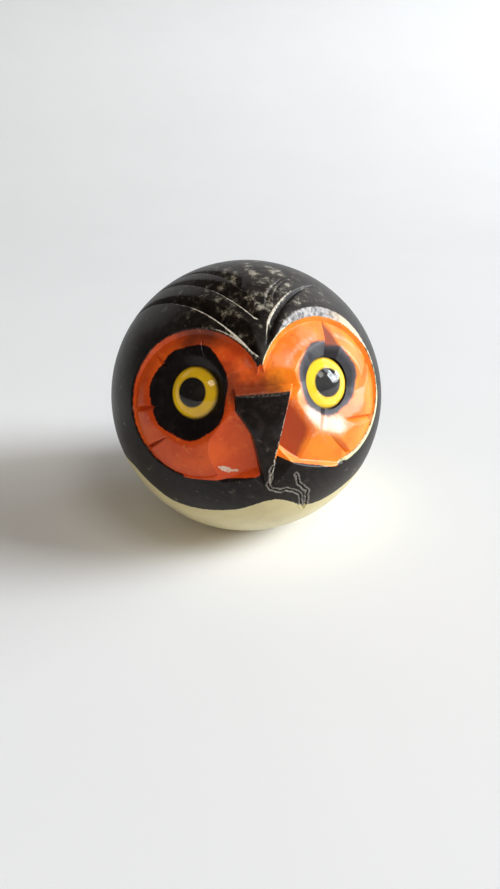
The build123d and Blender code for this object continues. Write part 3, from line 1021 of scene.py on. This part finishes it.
class StoneShader(Shader):
    """The stone's shader, with the noises that its dyes share."""

    def __init__(self):
        super().__init__("dyed_alabaster")
        self.cloud = self.noise(9.0, 4.0, 0.6)
        self.fine = self.noise(1.6, 4.0, 0.6)
        self.grain = self.noise(0.5, 3.0, 0.6)
        self.ragged = self.times(self.math("SUBTRACT", self.noise(0.9, 3.0, 0.6), 0.5), 0.7)
        self.rightward = self.frayed("rightward", 3.0)

    def frayed(self, zone, amount=1.0):
        """A zone's distance, with its edge made ragged by that much."""
        return self.add(self.attribute(zone), self.times(self.ragged, amount))


def orange_dye(s):
    """The faces, with painted light and shade: a darker, redder shaded copy on the left, painted
    shade on the notches' shaded walls, on the right cheek's facet and in smudges over the beak and
    under the left brow, and a pale painted highlight under the right eye and along its ridges.
    """
    # Painted shade: the left of the face gets a darker, redder copy of the orange, and the right
    # gets a lit one
    left = s.mix(s.step(s.cloud, 0.35, 0.65), *ORANGE_LEFT_SHADED)
    right = s.mix(s.step(s.cloud, 0.35, 0.65), *ORANGE_RIGHT_LIT)
    orange = s.mix(s.step(s.rightward, -0.5, 2.5), left, right)
    orange = s.stain(orange, s.step(s.fine, 0.56, 0.75), 0.35, ORANGE_FLECK)
    orange = s.stain(orange, s.step(s.noise(2.6, 5.0, 0.7), 0.60, 0.74), 0.5, ORANGE_PATCH)
    # Painted shade: dark red on the notches' shaded walls
    orange = s.stain(orange, s.step(s.attribute("notch_shade"), 0.1, 0.5), 0.8, ORANGE_NOTCH_SHADE)
    # Painted shade: darker orange on the right cheek's sunken facet beside the beak
    orange = s.stain(orange, s.step(s.frayed("cheek_shade", 0.4), 0.2, 0.75), 0.85, ORANGE_CHEEK_SHADE)
    # Painted highlight: pale orange under the right eye and along its dish's ridges
    orange = s.stain(orange, s.step(s.frayed("thin", 3.0), HIGHLIGHT_REACH, 0.5), 0.75, ORANGE_HIGHLIGHT)
    # Painted shade over the beak and under the left brow, with ragged edges
    shade_level = s.add(s.attribute("shade_smudge"), s.times(s.noise(3.0, 6.0, 0.7), 7.0))
    return s.stain(orange, s.step(shade_level, 9.5, 3.5), 0.82, ORANGE_SMUDGED_SHADE)


def black_dye(s):
    """The head and beak: specks, pale mottling on the crown, a bevel of dust and painted sheen, and
    the crack's lips.
    """
    black = s.mix(s.step(s.fine, 0.4, 0.7), *BLACK)
    near = s.step(s.attribute("crown"), 27.0, 7.0)
    level = s.add(s.noise(2.8, 8.0, 0.68, 0.1), s.times(near, 0.12))
    speck = s.times(s.step(s.noise(0.7, 4.0, 0.7), 0.62, 0.72), 0.6)
    black = s.mix(s.times(speck, s.step(s.cloud, 0.5, 0.65)), black, SPECK)
    pale = s.times(s.step(level, 0.58, 0.74), s.step(s.grain, 0.1, 0.5))
    black = s.mix(pale, black, s.mix(s.step(level, 0.64, 0.78), *MOTTLE))
    # The bevel's pale grey, creamy on its right part, is partly dust and partly painted sheen
    dusty_sheen = s.mix(s.step(s.fine, 0.38, 0.62), *DUST_AND_SHEEN)
    dusty_sheen = s.mix(s.step(s.rightward, 17.0, 25.0), dusty_sheen, CREAMY_DUST_AND_SHEEN)
    black = s.stain(black, s.step(s.frayed("bevel", 0.8), -0.1, 0.3), 0.85, dusty_sheen)
    split = s.attribute("split")
    lips = s.times(s.step(split, 0.80, 0.50), s.step(split, 0.16, 0.36))
    return s.stain(black, s.times(lips, s.step(s.grain, 0.25, 0.55)), 0.7, CRACK_LIP)


def stone_material():
    """Cream stone under its dyes, its wear and its painted light and shade, with a polish that
    varies from zone to zone.
    """
    s = StoneShader()
    black = black_dye(s)
    face = s.step(s.frayed("face", 0.5), -0.1, 0.1)
    beak = s.step(s.frayed("beak", 0.6), -0.1, 0.1)
    rings = [s.step(s.frayed(f"ring_{WORD[side]}"), *RING_FADE[side]) for side in SIDES]
    # The right ring turns blue-grey towards its edge: partly faded dye and partly painted sheen
    faded = s.step(s.attribute("ring_right"), 1.8, 0.1)

    cream = s.mix(s.step(s.cloud, 0.35, 0.7), *CREAM)
    colour = s.mix(s.step(s.frayed("belly"), -0.06, 0.1), cream, black)
    colour = s.mix(s.step(s.frayed("bare", 0.6), -0.1, 0.1), colour, BARE_STONE)
    colour = s.mix(face, colour, orange_dye(s))
    colour = s.mix(rings[0], colour, s.mix(s.step(s.fine, 0.45, 0.7), *LEFT_RING))
    colour = s.mix(rings[1], colour, s.mix(faded, *RIGHT_RING_AND_SHEEN))
    colour = s.mix(beak, colour, black)
    # Convex edges lightened: partly rubbed stone, partly painted edge highlight
    edge = s.add(s.attribute("crest"), s.times(s.fine, 0.25))
    rubbed_and_highlit = s.times(s.step(edge, 0.22, 0.10), s.step(s.grain, 0.35, 0.6))
    colour = s.stain(colour, rubbed_and_highlit, 0.12, RUBBED_STONE_AND_EDGE_HIGHLIGHT)
    # Pale lines on crests, rims, the beak's edge and the left cheek: partly wear, partly painted
    # highlight
    worn_and_highlit = s.times(s.step(s.frayed("worn_and_highlit", 0.8), -0.05, 0.08), s.step(s.grain, 0.2, 0.5))
    colour = s.stain(colour, worn_and_highlit, 0.85, WORN_STONE_AND_HIGHLIGHT)

    low = s.times(s.step(s.attribute("belly"), -8.0, -2.0), 0.33)
    gloss = s.math("SUBTRACT", 0.45, s.math("MAXIMUM", low, s.times(beak, 0.37)))
    gloss = s.math("MAXIMUM", gloss, s.times(face, 0.38))
    gloss = s.math("SUBTRACT", gloss, s.times(rings[1], 0.3))
    s.set(base_color=colour, roughness=s.add(s.times(s.fine, 0.25), 0.3), coat_weight=gloss,
          coat_roughness=0.13, coat_ior=1.5, specular_ior_level=0.12, subsurface_weight=0.15,
          subsurface_radius=(0.003, 0.0015, 0.001), subsurface_scale=1.0,
          normal=s.bump(s.noise(2.2, 5.0, 0.65), 0.4, 0.15))
    return s.material


def glass_material():
    """Clear glass that lets the lights through to the iris behind it."""
    s = Shader("clear_glass")
    s.set(base_color=CLEAR, roughness=0.1, transmission_weight=1.0, ior=1.5,
          specular_ior_level=0.3)
    through = s.nodes.new("ShaderNodeBsdfTransparent")
    path = s.nodes.new("ShaderNodeLightPath")
    blend = s.nodes.new("ShaderNodeMixShader")
    s.links.new(path.outputs["Is Shadow Ray"], blend.inputs[0])
    s.links.new(s.surface.outputs[0], blend.inputs[1])
    s.links.new(through.outputs[0], blend.inputs[2])
    s.links.new(blend.outputs[0], s.out.inputs["Surface"])
    return s.material


def iris_material():
    """Yellow glass, with painted shade darkening it at the bead's edge and round the pupil."""
    s = Shader("yellow_glass")
    spread = s.attribute("spread")
    # Painted shade: dark at the bead's edge and round the pupil's well
    rim = s.math("MAXIMUM", s.step(spread, 5.0, 5.9), s.step(spread, 3.4, 2.9))
    colour = s.mix(rim, s.mix(s.noise(2.0), *YELLOW), IRIS_EDGE_SHADE)
    s.set(base_color=colour, roughness=0.5, specular_ior_level=0.1)
    return s.material


def pupil_material():
    """Black glass with a few pale flecks."""
    s = Shader("black_glass")
    colour = s.mix(s.step(s.noise(0.7, 4.0, 0.7), 0.60, 0.72), *PUPIL)
    s.set(base_color=colour, roughness=0.5, specular_ior_level=0.1)
    return s.material


def wire_material():
    s = Shader("annealed_wire")
    colour = s.mix(s.noise(0.7), *WIRE)
    s.set(base_color=colour, metallic=1.0, roughness=s.add(s.noise(0.4), 0.1))
    return s.material


def cement_material():
    s = Shader("resin_cement")
    colour = s.mix(s.noise(0.8, 4.0), *CEMENT)
    s.set(base_color=colour, roughness=0.6, normal=s.bump(s.noise(0.5), 0.4, 0.1))
    return s.material


# ---- The eyes ----

def cap_line(rim, rise, base, inner=0.0, steps=20):
    """(radius, height) pairs down a domed cap, from the inner radius out to its rim."""
    ball = (rim**2 + rise**2) / (2 * rise)
    line = []
    for i in range(steps + 1):
        radius = inner + (rim - inner) * sin(pi / 2 * i / steps)
        line.append((radius, base + rise - ball + sqrt(ball**2 - radius**2)))
    return line


def note_spread(piece, side):
    """Stores each point's distance from the eye's axis, in millimetres."""
    origin, (u, v, _) = eye_axes(side)
    offset = read_points(piece.data) - origin
    write_values(piece.data, "spread", np.hypot(offset @ u, offset @ v))


def lens_outline():
    """The clear dome, from its front round to the iris behind it."""
    front = cap_line(BEAD_RADIUS, DOME_RISE, RIM_HEIGHT)
    return front + cap_line(IRIS_RADIUS, IRIS_RISE, RIM_HEIGHT)[::-1]


def iris_outline():
    """The bead: the pupil's well, the ring round it, the edge and the domed back."""
    ring = cap_line(IRIS_RADIUS, IRIS_RISE, RIM_HEIGHT, PUPIL_RADIUS)
    edge = RIM_HEIGHT - BEAD_EDGE
    back = [(r, 2 * edge - h) for r, h in cap_line(BEAD_RADIUS, BACK_RISE, edge)]
    return [(0, WELL), (PUPIL_RADIUS, WELL)] + ring + [(BEAD_RADIUS, RIM_HEIGHT)] + back[::-1]


def pupil_outline():
    """The pupil: the iris's curve carried on to the middle, down to the well's floor."""
    face = [spot for spot in cap_line(IRIS_RADIUS, IRIS_RISE, RIM_HEIGHT, steps=40)
            if spot[0] < PUPIL_RADIUS]
    return face + [(PUPIL_RADIUS, face[-1][1]), (PUPIL_RADIUS, WELL), (0, WELL)]


def glass_eye(side, materials):
    """An eye's three pieces, each in place of its CAD node, with its slot's material."""
    word = WORD[side]
    dome = lathe(f"{word}_lens", lens_outline(), side)
    iris = lathe(f"{word}_iris", iris_outline(), side)
    note_spread(iris, side)
    pupil = lathe(f"{word}_pupil_disc", pupil_outline(), side)
    for piece, node, slot in (
        (dome, "glass_dome", "clear_glass"),
        (iris, "iris_bead", "yellow_glass"),
        (pupil, "pupil", "black_glass"),
    ):
        shade(piece, EYE_CREASE)
        piece.data.materials.append(materials[slot])
        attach(piece, "root")
        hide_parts(f"{word}_{node}")


# ---- Floor, light and camera ----

def backdrop():
    """A pale board that lies flat under the owl and rises gently far behind it."""
    outline = [(BOARD_FRONT, 0.0), (RAMP_START, 0.0)]
    for i in range(1, RAMP_STEPS + 1):
        turn = radians(RAMP_SLOPE) * i / RAMP_STEPS
        outline.append((RAMP_START + RAMP_BEND * sin(turn),
                        RAMP_BEND * (1 - cos(turn))))
    y, z = outline[-1]
    outline.append((y + RAMP_RUN, z + RAMP_RUN * tan(radians(RAMP_SLOPE))))
    points = [(side * BOARD_HALF_WIDTH, y, z) for y, z in outline for side in SIDES]
    faces = [(2 * i, 2 * i + 1, 2 * i + 3, 2 * i + 2) for i in range(len(outline) - 1)]
    piece = mesh_object("backdrop", points, faces)
    shade(piece)
    s = Shader("pale_board")
    s.set(base_color=s.mix(s.noise(90.0, 2.0), *BOARD), roughness=0.7, specular_ior_level=0.2)
    piece.data.materials.append(s.material)


def area_light(name, elevation, azimuth, distance, size, power, colour, in_gloss, on_matte):
    """A lit rectangle that faces the ball's centre."""
    data = bpy.data.lights.new(name, "AREA")
    data.shape = "RECTANGLE"
    data.size, data.size_y = size
    data.energy = power
    data.color = colour
    light = new_object(name, data)
    away = Vector(toward(elevation, azimuth))
    light.location = Vector(CENTRE * MM) + away * distance
    light.rotation_euler = away.to_track_quat("Z", "Y").to_euler()
    light.visible_glossy = in_gloss
    light.visible_diffuse = on_matte


def lighting():
    """The area lights, a faint light from all round, and plain colours in the picture."""
    for name, row in LIGHTS.items():
        area_light(name, *row)
    world = bpy.data.worlds.new("room")
    world.use_nodes = True
    background = world.node_tree.nodes["Background"]
    background.inputs["Color"].default_value = AMBIENT_COLOUR
    background.inputs["Strength"].default_value = AMBIENT_STRENGTH
    bpy.context.scene.world = world
    bpy.context.scene.view_settings.view_transform = "Standard"


def camera():
    """Aims at the ball's centre, then turns to set it off the picture's middle, and rolls."""
    back = toward(CAMERA_ELEVATION, CAMERA_AZIMUTH)
    spot = CENTRE * MM + back * CAMERA_DISTANCE * BALL * MM
    axes = [Vector(axis) for axis in axes_along(back)]
    for number, degrees in enumerate((CENTRE_RAISED, CENTRE_TO_LEFT, CAMERA_ROLL)):
        turn = Matrix.Rotation(radians(-degrees), 3, axes[number])
        axes = [turn @ axis for axis in axes]
    data = bpy.data.cameras.new("camera")
    data.sensor_width = CAMERA_SENSOR
    data.lens = CAMERA_LENS
    data.clip_start = CAMERA_NEAREST
    pose = Matrix(axes).transposed().to_4x4()
    pose.translation = Vector(spot)
    view = new_object("camera", data)
    view.matrix_world = pose
    bpy.context.scene.camera = view


# ---- Putting it together ----

def stone_owl():
    """The stone, dyed, in place of its CAD node."""
    piece = stone_mesh()
    paint_zones(piece)
    piece.data.materials.append(stone_material())
    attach(piece, "root")
    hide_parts("stone_body")


def carried_over_nodes():
    """Gives the CAD's own wires and cement their materials."""
    wire = wire_material()
    cement = cement_material()
    for side in SIDES:
        for node, material in (("wire_shank", wire), ("cement_bed", cement)):
            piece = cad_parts[f"{WORD[side]}_{node}"]
            piece.data.materials.clear()
            piece.data.materials.append(material)


camera()
lighting()
backdrop()
stone_owl()
eye_materials = {"clear_glass": glass_material(), "yellow_glass": iris_material(),
                 "black_glass": pupil_material()}
for eye_side in SIDES:
    glass_eye(eye_side, eye_materials)
carried_over_nodes()
